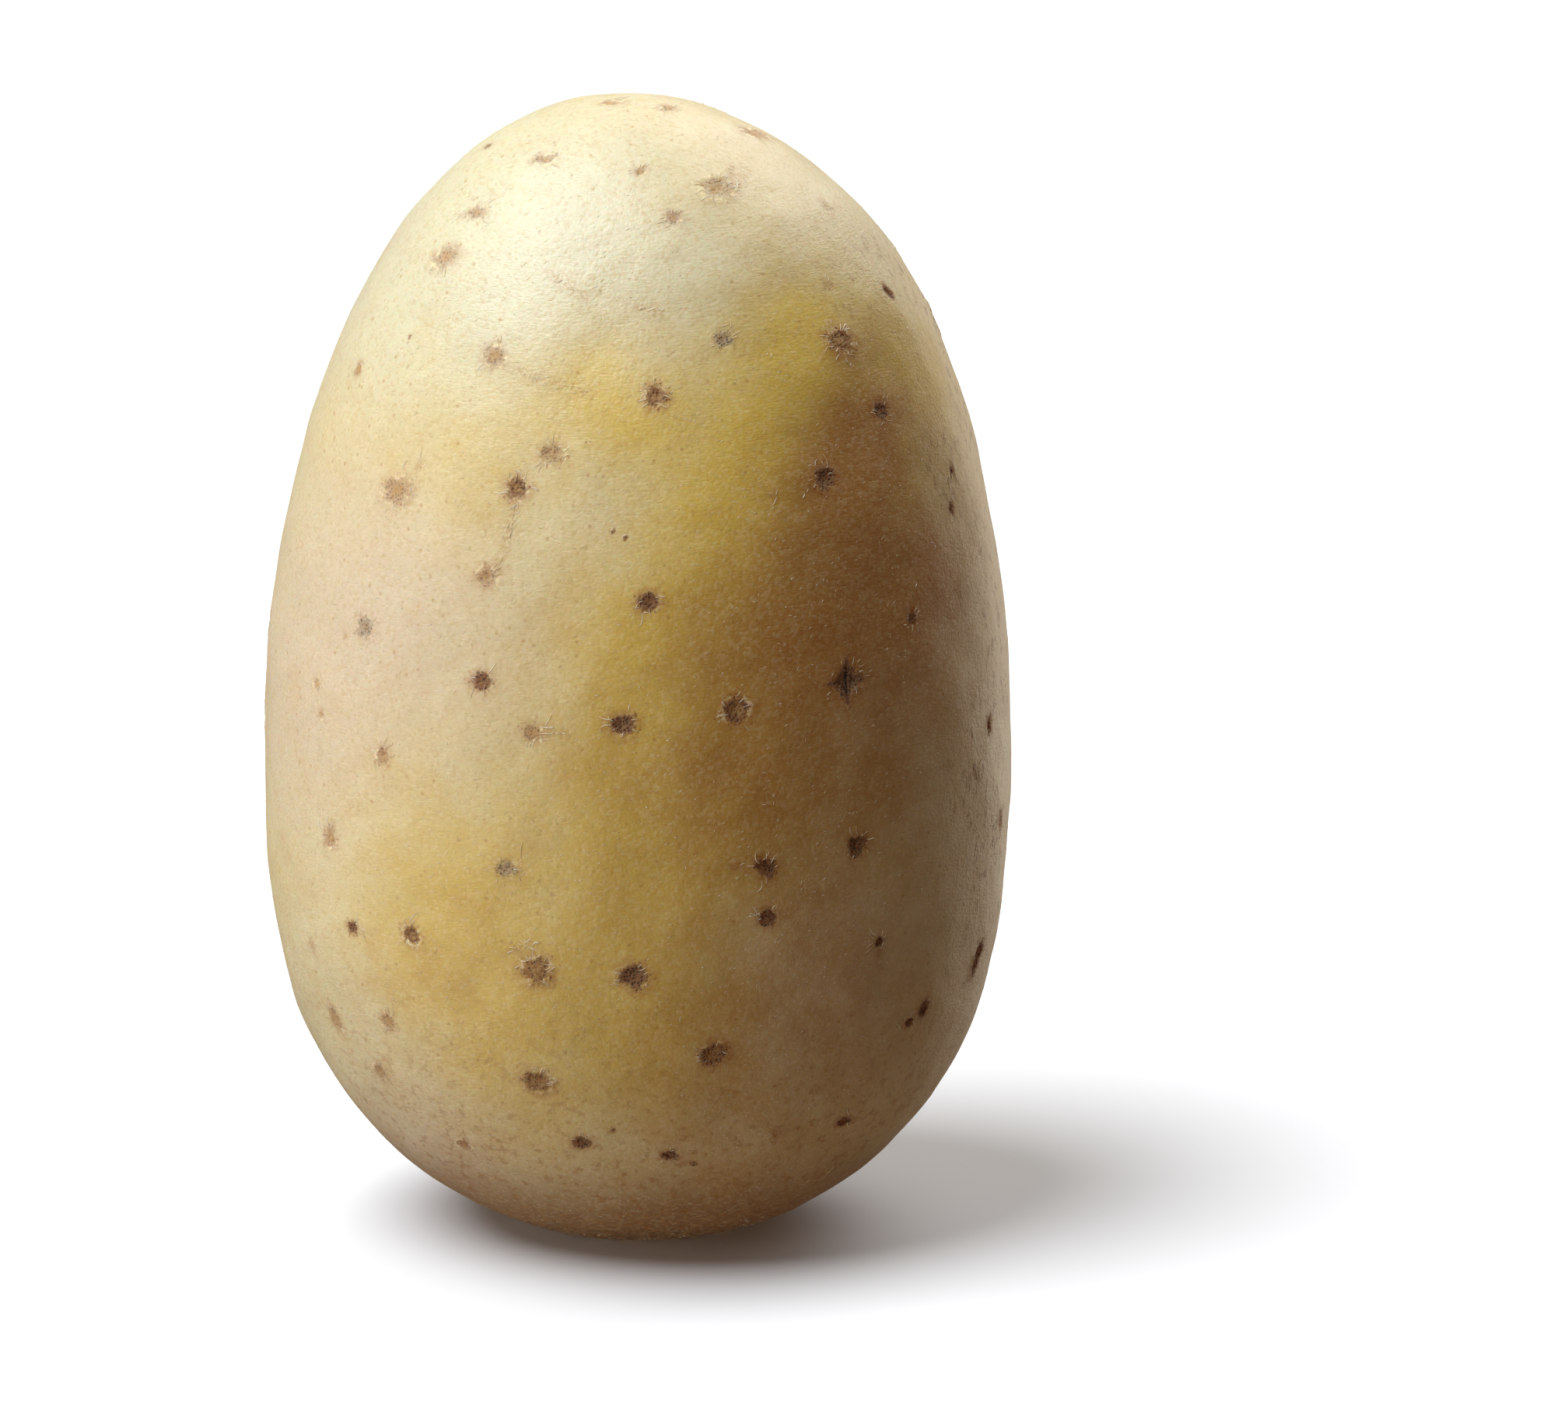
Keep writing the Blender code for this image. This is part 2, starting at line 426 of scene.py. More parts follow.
def swollen(points):
    """Along lines from the middle, the skin moves by the sum of depth times e^-(distance/radius)^2."""
    outward = unit(points - np.array((0.0, 0.0, GIRTH_HEIGHT)))
    push = np.zeros(len(points))
    for turn, height, radius, depth in SWELLS:
        centre = plain_form(direction_at(turn, height)[None, :])[0]
        push += depth * np.exp(-(np.linalg.norm(points - centre, axis=1) / radius) ** 2)
    return points + outward * push[:, None]


def leaning(points):
    """The tip shifts sideways by a share that grows with a power of the height."""
    share = np.clip(points[:, 2] / HEIGHT, 0.0, 1.0) ** TIP_LEAN_POWER
    return points + share[:, None] * np.array((*TIP_LEAN, 0.0))


def footed(points):
    """Below the foot's plane the skin lies flat, and above it rises with the square, then as it was."""
    reach = FOOT_RADIUS / (WIDTH / 2)
    plane = GIRTH_HEIGHT * (1.0 - (1.0 - reach ** 2) ** (1.0 / BOTTOM_FULLNESS))
    above = np.clip(points[:, 2] - plane, 0.0, None)
    rise = np.where(above < FOOT_BLEND, above ** 2 / (2 * FOOT_BLEND), above - FOOT_BLEND / 2)
    return np.column_stack((points[:, :2], plane + rise))


def fitted(points):
    """Scales and shifts the points so that their outer box is the part's own box."""
    low, high = points.min(axis=0), points.max(axis=0)
    return (points - low) / (high - low) * (np.array(cad_high) - np.array(cad_low)) + np.array(cad_low)


def tuber(directions):
    """The smooth tuber's points for directions on the ball."""
    return fitted(footed(leaning(swollen(plain_form(directions)))))


# --- The skin's grid ---


def cube_ball():
    """Directions on a cube's faces blown up to a ball, the squares between them, and their flat map.

    On each face the point (a, b) is the face's normal plus tan a across plus tan b up, made one
    long. The faces' shared edges are welded, and each face has its own tile of the flat map.
    """
    faces = (
        ((1, 0, 0), (0, 1, 0), (0, 0, 1)),
        ((-1, 0, 0), (0, -1, 0), (0, 0, 1)),
        ((0, -1, 0), (1, 0, 0), (0, 0, 1)),
        ((0, 1, 0), (-1, 0, 0), (0, 0, 1)),
        ((0, 0, 1), (1, 0, 0), (0, 1, 0)),
        ((0, 0, -1), (1, 0, 0), (0, -1, 0)),
    )
    steps = np.linspace(0.0, 1.0, CELLS + 1)
    slopes = np.tan((steps - 0.5) * math.pi / 2)
    up, across = np.meshgrid(slopes, slopes, indexing="ij")
    map_up, map_across = np.meshgrid(steps, steps, indexing="ij")
    corner = np.arange(CELLS)[:, None] * (CELLS + 1) + np.arange(CELLS)[None, :]
    square = np.stack((corner, corner + 1, corner + CELLS + 2, corner + CELLS + 1), axis=-1).reshape(-1, 4)
    directions, squares, flat = [], [], []
    for number, (normal, right, top) in enumerate(faces):
        normal, right, top = (np.array(way, float) for way in (normal, right, top))
        face = normal + across[..., None] * right + up[..., None] * top
        directions.append(unit(face).reshape(-1, 3))
        squares.append(square + number * (CELLS + 1) ** 2)
        tile = np.stack((map_across, map_up), axis=-1).reshape(-1, 2)
        tile = tile * (1.0 - 2 * MAP_MARGIN) + MAP_MARGIN
        flat.append((tile + np.array((number % 3, number // 3))) / np.array((3.0, 2.0)))
    directions, squares, flat = (np.concatenate(part) for part in (directions, squares, flat))
    _, first, welded = np.unique(np.round(directions, 6), axis=0, return_index=True, return_inverse=True)
    return directions[first], welded.reshape(-1)[squares], flat[squares.ravel()]


def corner_normals(points, squares):
    """Each point's outward normal: the sum of the cross products of its squares' diagonals."""
    across = points[squares[:, 2]] - points[squares[:, 0]]
    up = points[squares[:, 3]] - points[squares[:, 1]]
    flat = np.cross(across, up)
    total = np.zeros_like(points)
    for axis in range(3):
        total[:, axis] = np.bincount(
            squares.ravel(), np.repeat(flat[:, axis], 4), minlength=len(points))
    return unit(total)


def sideways(normals):
    """For each normal, the level direction along the skin and the direction up the skin."""
    right = np.cross(np.array((0.0, 0.0, 1.0)), normals)
    right = np.where(np.linalg.norm(right, axis=-1, keepdims=True) < 1e-3, np.array((1.0, 0.0, 0.0)), right)
    right = unit(right)
    return right, np.cross(normals, right)


def front_point(points, across, height):
    """The number of the front's point that is nearest to this place in mm across and up."""
    gap = np.hypot(points[:, 0] / MM - across, points[:, 2] / MM - height)
    return np.argmin(np.where(points[:, 1] < 0.0, gap, math.inf))


def all_spots(directions, points):
    """Every spot's direction, width, length over width, turn and kind: the front's, then the rest.

    The rest lie at random turns and heights on the back and sides, each no nearer to another spot
    than the gap.
    """
    spots, places = [], []
    for across, height, width, stretch, turn, kind in FRONT_SPOTS:
        nearest = front_point(points, across, height)
        spots.append((directions[nearest], width, stretch, turn, kind))
        places.append(points[nearest])
    draw = np.random.default_rng(BACK_SEED)
    kinds, odds = tuple(BACK_KINDS), tuple(BACK_KINDS.values())
    while len(spots) < len(FRONT_SPOTS) + BACK_SPOTS:
        turn = draw.uniform(*BACK_TURNS)
        height = draw.uniform(*BACK_HEIGHTS) * HEIGHT
        kind = kinds[draw.choice(len(kinds), p=odds)]
        width = SMALL_WIDTHS.get(kind, BACK_WIDTH) * draw.uniform(*WIDTH_SHARES)
        way = direction_at(turn, height)
        nearest = np.argmax(directions @ way)
        if np.linalg.norm(np.array(places) - points[nearest], axis=1).min() > SPOT_GAP * MM:
            stretch, turned = draw.uniform(*STRETCHES), draw.uniform(0, 180)
            spots.append((directions[nearest], width, stretch, turned, kind))
            places.append(points[nearest])
    return spots


def gathered(directions, points, spots):
    """Draws the grid's directions in towards each spot, so that the squares are finer there.

    A direction moves towards the spot's by a part of the gap between them, which is the pull at
    the spot and falls as e to the minus square of distance over the pull's reach.
    """
    centres = np.array([spot[0] for spot in spots])
    places = points[np.argmax(directions @ centres.T, axis=0)]
    moved = directions.copy()
    for (centre, width, stretch, _, kind), place in zip(spots, places):
        distance = np.linalg.norm(points - place, axis=1) / (PULL_REACH / 2 * width * stretch * MM)
        pull = STAR_PULL if kind == "star" else SPOT_PULL
        moved += (pull * np.exp(-distance ** 2))[:, None] * (centre - directions)
    return unit(moved)


def spot_fields(directions, points, normals, spots):
    """What the spots do to the skin: its relief in mm, the nearest one's reach and look, and slits.

    Each spot has flat coordinates on the skin, turned and stretched to its own outline. Its reach
    is the distance over its radius, with lobes from a few waves of the angle round it. The pit is
    a bowl inside reach 1, the rim a bell just outside it that waves of the angle tear, and the
    crumbs are fine waves in the bowl. A star's reach also grows with the root of the product of
    its coordinates, which gives it four arms, and a narrow slit runs along two of them.
    """
    relief = np.zeros(len(points))
    nearness = np.full(len(points), FAR)
    look = np.zeros((len(points), 4))
    slit = np.zeros(len(points))
    right, up = sideways(normals)
    crumbs = waves(points, CRUMB_SIZE * MM, WAVE_COUNT, CRUMB_SEED)
    draw = np.random.default_rng(OUTLINE_SEED)
    for centre, width, stretch, turn, kind in spots:
        pit, rim, crumb, *colours = KINDS[kind]
        home = np.argmax(directions @ centre)
        near = np.flatnonzero(np.linalg.norm(points - points[home], axis=1) < 3.5 * width * stretch * MM)
        offset = (points[near] - points[home]) / (width / 2 * MM)
        across, rise = offset @ right[home], offset @ up[home]
        angle = math.radians(turn)
        along = (across * math.cos(angle) + rise * math.sin(angle)) / stretch
        aside = rise * math.cos(angle) - across * math.sin(angle)
        round_it = np.arctan2(aside, along)
        starts = draw.uniform(0.0, math.tau, 3)
        lobes = sum(np.sin(k * round_it + start) / k for k, start in zip((2, 3, 5), starts))
        tear = 0.5 + 0.5 * np.sin(3 * round_it + starts[1]) * np.sin(2 * round_it + starts[2])
        reach = np.hypot(along, aside)
        if kind == "star":
            reach = np.sqrt(np.abs(along * aside)) * 0.9 + reach * 0.68
            slit[near] = np.exp(-(along / 0.08) ** 2) * (1.0 - smooth(np.abs(aside), 0.3, 1.1))
        else:
            reach = reach * (1.0 + 0.09 * lobes * smooth(reach, 0.1, 0.8))
        edge = np.exp(-((reach - 1.12) / 0.2) ** 2) * tear
        relief[near] += rim * (edge + 0.35 * np.exp(-(reach / 2.2) ** 2))
        relief[near] += crumb * crumbs[near] * np.exp(-(reach / 1.1) ** 4)
        relief[near] -= pit * (1.0 - smooth(reach, 0.35, 1.0))
        closer = reach < nearness[near]
        nearness[near[closer]] = reach[closer]
        look[near[closer]] = colours
    look *= (1.0 - smooth(nearness, 2.6, 3.6))[:, None]
    return relief, nearness, look, slit


def patch_tints(points):
    """How much blush, yellow, russet and bloom the skin has, as sums of soft bell shapes. On the
    front the bloom is a painted sheen and most of the russet is painted shade.

    On its own side a patch's distance is measured across and up, and past the edge the depth
    counts too, one and a half times.
    """
    tints = np.zeros((len(points), 4))
    for across, height, side, radius, *strengths in PATCHES:
        middle = np.array((across, 0.0, height)) * MM
        gap = points - middle
        gap[:, 1] = np.where(points[:, 1] * side > 0.0, 0.0, points[:, 1] * 1.5)
        bell = np.exp(-(np.linalg.norm(gap, axis=1) / (radius * MM)) ** 2)
        tints += bell[:, None] * np.array(strengths)
    return np.clip(tints, 0.0, 1.0)


def netting_field(points):
    """Where the skin is oldest and netted: down the right side, with a soft wandering border.

    It is a smooth step of the share of half the width, plus a soft wave and a little more high up,
    and it fades out towards the foot.
    """
    drift = 0.10 * waves(points, 18 * MM, 20, NETTING_SEED)
    wider_high_up = 0.25 * smooth(points[:, 2], *NETTING_SHOULDER)
    clear_of_foot = smooth(points[:, 2], *NETTING_FOOT)
    return smooth(points[:, 0] / (WIDTH / 2) + wider_high_up + drift, *NETTING_EDGE) * clear_of_foot


def scuff_field(points):
    """How scuffed the skin is: most along each scuff, falling as a bell with the distance to it."""
    field = np.zeros(len(points))
    for across, height, across_end, height_end, _ in SCUFFS:
        start, line = np.array((across, height)), np.array((across_end - across, height_end - height))
        flat = points[:, (0, 2)] / MM - start
        along = np.clip(flat @ line / (line @ line), 0.0, 1.0)
        gap = np.linalg.norm(flat - along[:, None] * line, axis=1)
        bell = np.exp(-(gap / SCUFF_RADIUS) ** 2)
        field = np.maximum(field, np.where(points[:, 1] < 0.0, bell, 0.0))
    return field * SCUFF_STRENGTH


def new_mesh(name, points, corners, sizes):
    """A mesh from its points, its faces' corners in one row, and how many corners each face has."""
    mesh = bpy.data.meshes.new(name)
    mesh.vertices.add(len(points))
    mesh.vertices.foreach_set("co", np.ascontiguousarray(points, dtype=np.float32).ravel())
    mesh.loops.add(len(corners))
    mesh.loops.foreach_set("vertex_index", np.asarray(corners, dtype=np.int32))
    mesh.polygons.add(len(sizes))
    starts = np.concatenate(([0], np.cumsum(sizes)[:-1]))
    mesh.polygons.foreach_set("loop_start", starts.astype(np.int32))
    mesh.update(calc_edges=True)
    mesh.validate()
    mesh.shade_smooth()
    return mesh


def placed(name, mesh, material):
    """Adds a piece of the potato: it rides on the body, wears the given material and stands for the node.
    """
    piece = bpy.data.objects.new(name, mesh)
    bpy.context.scene.collection.objects.link(piece)
    mesh.materials.append(material)
    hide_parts("potato")
    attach(piece, "root")
    return piece


def skin_surface():
    """The skin's directions, points, squares, flat map, spots and fields, with its relief raised.

    The smooth tuber gets broad dimples of under a tenth of a millimetre from soft waves,
    bell-shaped folds and the spots' relief, all along its own normals, and keeps its flat foot.
    """
    directions, squares, flat = cube_ball()
    points = tuber(directions)
    spots = all_spots(directions, points)
    directions = gathered(directions, points, spots)
    points = tuber(directions)
    normals = corner_normals(points, squares)
    relief, nearness, look, slit = spot_fields(directions, points, normals, spots)
    dimples = DIMPLE_HEIGHT * waves(points, DIMPLE_SIZE * MM, WAVE_COUNT, DIMPLE_SEED)
    ripples = RIPPLE_HEIGHT * waves(points, RIPPLE_SIZE * MM, WAVE_COUNT, RIPPLE_SEED)
    relief += dimples + ripples
    for across, height, radius, depth in FOLDS:
        home = points[front_point(points, across, height)]
        relief += depth * np.exp(-(np.linalg.norm(points - home, axis=1) / (radius * MM)) ** 2)
    standing = smooth(points[:, 2], *FOOT_CLEARANCE)
    raised = points + normals * (relief * standing * MM)[:, None]
    raised[:, 2] = np.where(points[:, 2] < 1e-6, points[:, 2], raised[:, 2])
    return directions, fitted(raised), squares, flat, spots, nearness, look, slit


def sliver_shapes(places, along, aside, outward, length, width, thickness, curl, bow, rings):
    """Torn slivers of skin, each a lens drawn out along its length, as points, corners and sizes.

    At s from -1 to 1 along a sliver, its section is an ellipse of four points whose size is
    1 - s^2 to the 0.7. It bends aside by bow times s^2 and lifts by curl times (1 + s) / 2 squared.
    """
    count = len(places)
    station = np.linspace(-1.0, 1.0, rings + 2)
    size = (1.0 - station[1:-1] ** 2) ** 0.7
    angle = np.arange(4) * math.pi / 2
    half = length[:, None, None] / 2

    def at(s):
        """The middle of every sliver's section at each s."""
        lift = (curl[:, None, None] * ((1.0 + s[None, :, None]) / 2) ** 2) * outward[:, None, :]
        lift = lift + bow[:, None, None] * s[None, :, None] ** 2 * aside[:, None, :]
        return places[:, None, :] + along[:, None, :] * half * s[None, :, None] + lift

    middle = at(station[1:-1])
    wide = (width / 2)[:, None, None] * size[None, :, None]
    thick = (thickness / 2)[:, None, None] * size[None, :, None]
    section = (
        middle[:, :, None, :]
        + aside[:, None, None, :] * wide[..., None] * np.cos(angle)[None, None, :, None]
        + outward[:, None, None, :] * thick[..., None] * np.sin(angle)[None, None, :, None]
    )
    ends = at(station[[0, -1]])
    points = np.concatenate((section.reshape(count, -1, 3), ends), axis=1)
    tail, tip = rings * 4, rings * 4 + 1
    turn, after = np.arange(4), (np.arange(4) + 1) % 4
    caps = [np.stack((np.full(4, tail), after, turn), axis=1)]
    caps.append(np.stack((np.full(4, tip), turn + 4 * (rings - 1), after + 4 * (rings - 1)), axis=1))
    belts = [
        np.stack((turn + 4 * k, after + 4 * k, after + 4 * k + 4, turn + 4 * k + 4), axis=1)
        for k in range(rings - 1)
    ]
    corners = np.concatenate([part.ravel() for part in caps + belts])
    sizes = np.concatenate((np.full(8, 3), np.full(4 * len(belts), 4)))
    shift = np.arange(count)[:, None] * points.shape[1]
    return points.reshape(-1, 3), (corners[None, :] + shift).ravel(), np.tile(sizes, count)


def fleck_slivers(points, normals, squares, nearness, draw):
    """Short flecks all over the skin, most of them slanting up to the right, half sunk in it."""
    across = points[squares[:, 2]] - points[squares[:, 0]]
    above = points[squares[:, 3]] - points[squares[:, 1]]
    span = np.linalg.norm(np.cross(across, above), axis=1)
    area = np.bincount(squares.ravel(), np.repeat(span, 4), minlength=len(points))
    chance = area * (points[:, 2] > 0.6 * MM) * (nearness > 1.1)
    chosen = draw.choice(len(points), FLECK_COUNT, replace=False, p=chance / chance.sum())
    right, up = sideways(normals[chosen])
    slant = np.radians(draw.normal(FLECK_SLANT, FLECK_SPREAD, FLECK_COUNT))[:, None]
    along = right * np.cos(slant) + up * np.sin(slant)
    aside = np.cross(normals[chosen], along)
    length = draw.uniform(*FLECK_LENGTHS, FLECK_COUNT) * MM
    width = draw.uniform(*FLECK_WIDTHS, FLECK_COUNT) * MM
    thickness = draw.uniform(*FLECK_THICKNESSES, FLECK_COUNT) * MM
    flat = np.zeros(FLECK_COUNT)
    return sliver_shapes(points[chosen], along, aside, normals[chosen],
                         length, width, thickness, flat, flat, 1)


def whisker_slivers(directions, points, normals, spots, draw):
    """Torn whiskers that stand out from the rims of the spots, and slivers laid along the scuffs.

    Most whiskers point to the left or the upper right, and every one is bowed a little.
    """
    right, up = sideways(normals)
    rows = []
    for centre, width, stretch, _, kind in spots:
        home = np.argmax(directions @ centre)
        near = np.flatnonzero(np.linalg.norm(points - points[home], axis=1) < 3.0 * width * MM)
        for _ in range(WHISKERS[kind]):
            angle = math.radians(draw.choice(WHISKER_WAYS, p=WHISKER_ODDS) + draw.normal(0.0, 32.0))
            length = 0.3 + draw.gamma(2.0, 0.22)
            away = right[home] * math.cos(angle) + up[home] * math.sin(angle)
            reach = width / 2 * stretch * draw.uniform(0.55, 1.05) + length / 2
            gap = points[near] - points[home] - away * reach * MM
            nearest = near[np.argmin(np.linalg.norm(gap, axis=1))]
            bend = math.radians(draw.normal(0.0, 22.0))
            along = away * math.cos(bend) + np.cross(normals[home], away) * math.sin(bend)
            rows.append((nearest, *along, length, draw.uniform(*WHISKER_WIDTHS)))
    for across, height, across_end, height_end, count in SCUFFS:
        for _ in range(count):
            share, (aside, above) = draw.uniform(0.0, 1.0), draw.normal(0.0, 0.16, 2)
            nearest = front_point(points, across + (across_end - across) * share + aside,
                                  height + (height_end - height) * share + above)
            angle = math.atan2(height_end - height, across_end - across) + draw.normal(0.0, 0.5)
            along = right[nearest] * math.cos(angle) + up[nearest] * math.sin(angle)
            rows.append((nearest, *along, draw.uniform(*SCUFF_LENGTHS), draw.uniform(*SCUFF_WIDTHS)))
    rows = np.array(rows)
    chosen = rows[:, 0].astype(int)
    outward = normals[chosen]
    along = unit(rows[:, 1:4] - outward * (rows[:, 1:4] * outward).sum(axis=1, keepdims=True))
    length, width = rows[:, 4] * MM, rows[:, 5] * MM
    curl = draw.uniform(0.0, 0.05, len(rows)) * MM
    bow = length * draw.normal(0.0, 0.14, len(rows))
    thickness = np.full(len(rows), WHISKER_THICKNESS * MM)
    return sliver_shapes(points[chosen], along, np.cross(outward, along), outward,
                         length, width, thickness, curl, bow, 5)


# --- Finishes ---

STEP = {"interpolation_type": "SMOOTHSTEP"}
PRODUCT = {"operation": "MULTIPLY"}
TINT = {"data_type": "RGBA"}


def add(tree, kind, sockets, **settings):
    """Adds a node with its settings. A socket takes another node's output, a hex colour or a value."""
    node = tree.nodes.new("ShaderNode" + kind)
    for name, value in settings.items():
        setattr(node, name, value)
    for socket, source in sockets.items():
        if isinstance(source, bpy.types.NodeSocket):
            tree.links.new(source, node.inputs[socket])
        else:
            node.inputs[socket].default_value = linear(source) if isinstance(source, str) else source
    return node.outputs


def new_material(name):
    """An empty node material with one Principled shader, its tree and its coordinates in mm."""
    material = bpy.data.materials.new(name)
    material.use_nodes = True
    tree = material.node_tree
    here = add(tree, "TexCoord", {})["Object"]
    place = add(tree, "VectorMath", {0: here, "Scale": 1 / MM}, operation="SCALE")[0]
    return material, tree, tree.nodes["Principled BSDF"], place


def layered(tree, colour, layers):
    """Lays tones over a colour. Each fades in as its field goes from low to high, to its strength."""
    for field, low, high, strength, tone in layers:
        mask = add(tree, "MapRange", {0: field, 1: low, 2: high, 4: strength}, **STEP)[0]
        colour = add(tree, "Mix", {0: mask, 6: colour, 7: tone}, **TINT)[2]
    return colour


def spot_cork(tree, place):
    """The spots' layers from the outside in, with their cork's mask and its crumbs.

    A spot's reach is shifted by coarse and fine grain, so that its edges are ragged. Round it
    lies an orange-brown glow with specks, then a torn pale rim, then crumbly cork that is paler
    in the middle, and a crack runs down a star.
    """
    reach = add(tree, "Attribute", {}, attribute_name="spot_reach")["Fac"]
    look = add(tree, "Attribute", {}, attribute_name="spot_look")
    dark, middle, halo = add(tree, "SeparateColor", {0: look["Color"]})
    slit = add(tree, "Attribute", {}, attribute_name="slit")["Fac"]
    coarse = add(tree, "TexNoise", {0: place, "Scale": 1 / 0.8, "Detail": 2.0})[0]
    fine = add(tree, "TexNoise", {0: place, "Scale": 1 / 0.26, "Detail": 3.0, "Roughness": 0.7})[0]
    shifted = add(tree, "Math", {0: coarse, 1: 1.1, 2: reach}, operation="MULTIPLY_ADD")[0]
    near = add(tree, "Math", {0: fine, 1: 1.0, 2: shifted}, operation="MULTIPLY_ADD")[0]

    crumbs = add(tree, "TexVoronoi", {0: place, "Scale": 1 / 0.26})["Distance"]
    crumb = add(tree, "MapRange", {0: crumbs, 1: 0.12, 2: 0.6}, **STEP)[0]
    corked = add(tree, "MapRange", {0: near, 1: 2.35, 2: 1.60, 4: dark}, **STEP)[0]
    broken = add(tree, "MapRange", {0: crumb, 1: 1.3, 2: 0.0, 4: corked}, **STEP)[0]
    core = add(tree, "Mix", {0: dark, 2: broken, 3: corked})[0]
    torn = add(tree, "MapRange", {0: fine, 1: 0.36, 2: 0.52, 4: middle}, **STEP)[0]
    lifted = add(tree, "MapRange", {0: coarse, 1: 0.50, 2: 0.66, 4: middle}, **STEP)[0]
    rim = add(tree, "MapRange", {0: near, 1: 2.0, 2: 2.15, 4: lifted}, **STEP)[0]
    glow = add(tree, "MapRange", {0: near, 1: 3.3, 2: 1.7, 4: halo}, **STEP)[0]
    specks = add(tree, "TexVoronoi", {0: place, "Scale": 1 / 0.42})
    some = add(tree, "SeparateColor", {0: specks["Color"]})[0]
    some = add(tree, "MapRange", {0: some, 1: 0.45, 2: 0.7, 4: glow}, **STEP)[0]

    brown_cork = add(tree, "Mix", {0: crumb, 6: "#3A2010", 7: "#85582E"}, **TINT)[2]
    grey_cork = add(tree, "Mix", {0: crumb, 6: "#57493A", 7: "#A8987E"}, **TINT)[2]
    cork = add(tree, "Mix", {0: look["Alpha"], 6: brown_cork, 7: grey_cork}, **TINT)[2]
    layers = (
        (glow, 0.0, 1.0, 0.45, "#A0602A"),
        (specks["Distance"], 0.38, 0.16, some, "#8A4E1E"),
        (near, 2.5, 2.3, rim, "#E8D6A8"),
        (core, 0.0, 1.0, 1.0, cork),
        (near, 1.75, 1.30, torn, "#B68E52"),
        (slit, 0.2, 0.8, 0.85, "#1E140D"),
    )
    return layers, core, crumb


